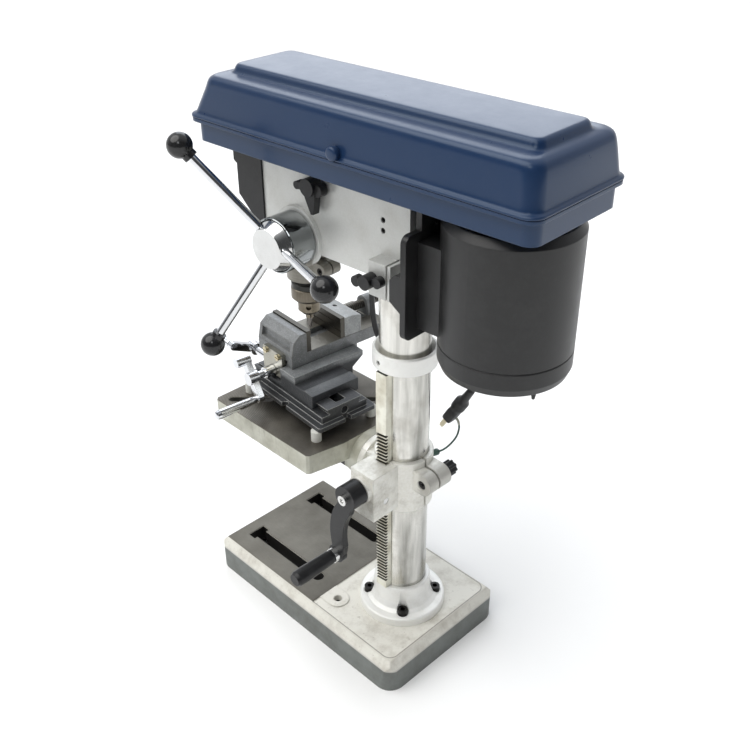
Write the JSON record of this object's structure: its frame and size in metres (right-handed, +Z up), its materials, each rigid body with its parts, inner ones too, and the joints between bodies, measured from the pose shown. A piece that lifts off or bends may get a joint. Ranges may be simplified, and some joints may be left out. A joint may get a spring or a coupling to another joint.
{
  "type": "benchtop drill press",
  "caption": "Small column drill press with belt cover, motor at the rear, crank-lifted tilting table and a cross slide vise bolted on it.",
  "frame": {"origin": "on the bench, midway between the two bench bolt holes of the base", "axes": "+Z up along the column, +Y from the front of the base to the motor, +X to the feed levers"},
  "size_m": [0.3606, 0.5373, 0.712],
  "materials": {
    "base_iron": "painted casting with a ground front deck",
    "table_iron": "ground top, painted sides",
    "casting": "silver paint on a sand casting",
    "vise_iron": "blue grey hammered paint",
    "steel": "turned and polished",
    "chrome": "plated",
    "dark_steel": "blackened or oiled",
    "pulley_metal": "turned",
    "black_paint": "satin black paint",
    "black_plastic": "moulded",
    "cover_blue": "glossy navy paint on pressed sheet",
    "rubber": "moulded",
    "earth_green": "sheathed wire",
    "white_plastic": "plain",
    "brass": "plated",
    "green_plastic": "moulded",
    "red_plastic": "moulded"
  },
  "bodies": {
    "stand": {"base": "base_iron", "column_flange": "casting", "flange_bolts": "dark_steel", "column": "steel", "rack_collar": "casting", "set_screws": "dark_steel", "head_casting": "casting", "switch_box": "black_plastic", "spring_cap": "black_paint", "belt": "rubber", "belt_pan": "cover_blue", "power_cord": "rubber", "cord_coil": "rubber", "plug": "rubber", "earth_lead": "earth_green"},
    "swing_rack": {"rack": "steel"},
    "bracket": {"table_bracket": "casting", "tilt_bolt": "dark_steel"},
    "worm": {"worm_shaft": "steel", "crank_arm": "black_paint", "crank_bolts": "steel"},
    "gear": {"lift_gear": "dark_steel"},
    "grip": {"crank_grip": "black_plastic"},
    "bracket_clamp": {"clamp_screw": "black_plastic"},
    "table": {"table": "table_iron", "vise_feet": "white_plastic", "vise_bolts": "dark_steel", "vise_base": "vise_iron"},
    "cross_screw": {"base_screw": "dark_steel"},
    "saddle": {"saddle": "vise_iron"},
    "vise_body": {"vise_body": "vise_iron", "end_plate": "steel", "end_screws": "brass", "jaw_plate_fixed": "dark_steel"},
    "long_screw": {"saddle_screw": "steel"},
    "jaw": {"moving_jaw": "vise_iron", "jaw_plate_moving": "dark_steel"},
    "jaw_screw": {"jaw_screw": "dark_steel"},
    "jaw_handle": {"jaw_handle": "chrome"},
    "head_lock": {"head_lock": "black_plastic"},
    "start_button": {"start_button": "green_plastic"},
    "stop_button": {"stop_button": "red_plastic"},
    "quill": {"quill": "steel"},
    "feed": {"feed_shaft": "steel", "feed_hub": "steel", "feed_spokes": "chrome", "feed_knobs": "black_plastic"},
    "depth_ring": {"depth_ring": "steel"},
    "spindle": {"spindle": "steel", "chuck": "dark_steel", "chuck_jaws": "dark_steel", "drill_bit": "dark_steel"},
    "chuck_sleeve": {"chuck_sleeve": "dark_steel"},
    "spindle_pulley": {"spindle_pulley": "pulley_metal"},
    "motor": {"motor": "black_paint", "motor_plate": "black_paint", "slide_bars": "steel"},
    "motor_pulley": {"motor_pulley": "pulley_metal"},
    "lid": {"lid": "cover_blue"},
    "tension_lock": {"tension_lock": "black_plastic"}
  },
  "joints": [
    {"name": "table_swing", "type": "hinge", "parent": "stand", "child": "swing_rack", "pos_m": [0, 0.056, 0.25], "axis": [0, 0, 1], "range_deg": [-15, 60]},
    {"name": "table_lift", "type": "slide", "parent": "swing_rack", "child": "bracket", "axis": [0, 0, 1], "range_m": [-0.105, 0]},
    {"name": "worm_turn", "type": "hinge", "parent": "bracket", "child": "worm", "pos_m": [0.085, 0.056, 0.2645], "axis": [1, 0, 0], "range_deg": [-8040, 5]},
    {"name": "gear_turn", "type": "hinge", "parent": "bracket", "child": "gear", "pos_m": [0.0495, 0.056, 0.2445], "axis": [0, 1, 0], "range_deg": [-2, 505]},
    {"name": "grip_spin", "type": "hinge", "parent": "worm", "child": "grip", "pos_m": [0.13, 0.03768, 0.17026], "axis": [1, 0, 0], "continuous": true},
    {"name": "clamp_turn", "type": "hinge", "parent": "bracket", "child": "bracket_clamp", "pos_m": [-0.03, 0.101, 0.264], "axis": [1, 0, 0], "range_deg": [0, 120]},
    {"name": "table_tilt", "type": "hinge", "parent": "bracket", "child": "table", "pos_m": [0, -0.01, 0.2495], "axis": [0, -1, 0], "range_deg": [0, 15]},
    {"name": "saddle_slide", "type": "slide", "parent": "table", "child": "saddle", "axis": [0.0872, 0.9962, 0], "range_m": [-0.018, 0.003]},
    {"name": "cross_screw_turn", "type": "hinge", "parent": "table", "child": "cross_screw", "pos_m": [0.00028, -0.19862, 0.308], "axis": [0.0872, 0.9962, 0], "range_deg": [-3300, 600]},
    {"name": "body_slide", "type": "slide", "parent": "saddle", "child": "vise_body", "axis": [0.9962, -0.0872, 0], "range_m": [-0.001, 0.024]},
    {"name": "long_screw_turn", "type": "hinge", "parent": "vise_body", "child": "long_screw", "pos_m": [0.04501, -0.14632, 0.325], "axis": [0.9962, -0.0872, 0], "range_deg": [-1100, 4400]},
    {"name": "jaw_slide", "type": "slide", "parent": "vise_body", "child": "jaw", "axis": [0.9962, -0.0872, 0], "range_m": [-0.01, 0.045]},
    {"name": "jaw_screw_turn", "type": "hinge", "parent": "jaw", "child": "jaw_screw", "pos_m": [-0.14444, -0.13175, 0.37], "axis": [0.9962, -0.0872, 0], "range_deg": [-1250, 5450]},
    {"name": "handle_slide", "type": "slide", "parent": "jaw_screw", "child": "jaw_handle", "axis": [0, 0, 1], "range_m": [-0.013, 0.013]},
    {"name": "head_lock_turn", "type": "hinge", "parent": "stand", "child": "head_lock", "pos_m": [0.06184, 0.06085, 0.531], "axis": [0.9989, 0.0461, 0], "range_deg": [-60, 60]},
    {"name": "start_press", "type": "slide", "parent": "stand", "child": "start_button", "axis": [-0.0461, 0.9989, 0], "range_m": [0, 0.003], "stiffness_N_per_m": 400, "springref_m": -0.002},
    {"name": "stop_press", "type": "slide", "parent": "stand", "child": "stop_button", "axis": [-0.0461, 0.9989, 0], "range_m": [0, 0.003], "stiffness_N_per_m": 400, "springref_m": -0.002},
    {"name": "quill_feed", "type": "slide", "parent": "stand", "child": "quill", "axis": [0, 0, -1], "range_m": [0, 0.02], "stiffness_N_per_m": 700, "springref_m": -0.07},
    {"name": "feed_turn", "type": "hinge", "parent": "stand", "child": "feed", "pos_m": [0.0657, -0.0663, 0.5364], "axis": [0.9989, 0.0461, 0], "range_deg": [-1, 110]},
    {"name": "depth_set", "type": "hinge", "parent": "feed", "child": "depth_ring", "pos_m": [0.05571, -0.06676, 0.5364], "axis": [0.9989, 0.0461, 0], "range_deg": [-90, 90]},
    {"name": "motor_spin", "type": "hinge", "parent": "motor", "child": "motor_pulley", "pos_m": [-0.00613, 0.18886, 0.6], "axis": [0, 0, 1], "continuous": true},
    {"name": "spindle_spin", "type": "hinge", "parent": "quill", "child": "spindle", "pos_m": [0.00714, -0.09884, 0.5], "axis": [0, 0, 1], "continuous": true},
    {"name": "pulley_spin", "type": "hinge", "parent": "stand", "child": "spindle_pulley", "pos_m": [0.00714, -0.09884, 0.66], "axis": [0, 0, 1], "continuous": true},
    {"name": "chuck_turn", "type": "hinge", "parent": "spindle", "child": "chuck_sleeve", "pos_m": [0.00714, -0.09884, 0.44], "axis": [0, 0, 1], "range_deg": [0, 90]},
    {"name": "motor_slide", "type": "slide", "parent": "stand", "child": "motor", "axis": [-0.0461, 0.9989, 0], "range_m": [0, 0.008], "deforming": ["belt"]},
    {"name": "lid_hinge", "type": "hinge", "parent": "stand", "child": "lid", "pos_m": [-0.08161, 0.05224, 0.653], "axis": [0.0461, -0.9989, 0], "range_deg": [0, 95]},
    {"name": "tension_turn", "type": "hinge", "parent": "stand", "child": "tension_lock", "pos_m": [0.05233, -0.03669, 0.604], "axis": [0.9989, 0.0461, 0], "range_deg": [-60, 60]}
  ],
  "couplings": [
    {"joint": "worm_turn", "follows": "table_lift", "rad_per_m": 1333.3},
    {"joint": "gear_turn", "follows": "table_lift", "rad_per_m": -83.333},
    {"joint": "cross_screw_turn", "follows": "saddle_slide", "rad_per_m": 3141.6},
    {"joint": "long_screw_turn", "follows": "body_slide", "rad_per_m": 3141.6},
    {"joint": "jaw_screw_turn", "follows": "jaw_slide", "rad_per_m": 2094.4},
    {"joint": "feed_turn", "follows": "quill_feed", "rad_per_m": 95.238},
    {"joint": "spindle_spin", "follows": "motor_spin", "ratio": 0.82051},
    {"joint": "pulley_spin", "follows": "motor_spin", "ratio": 0.82051}
  ]
}
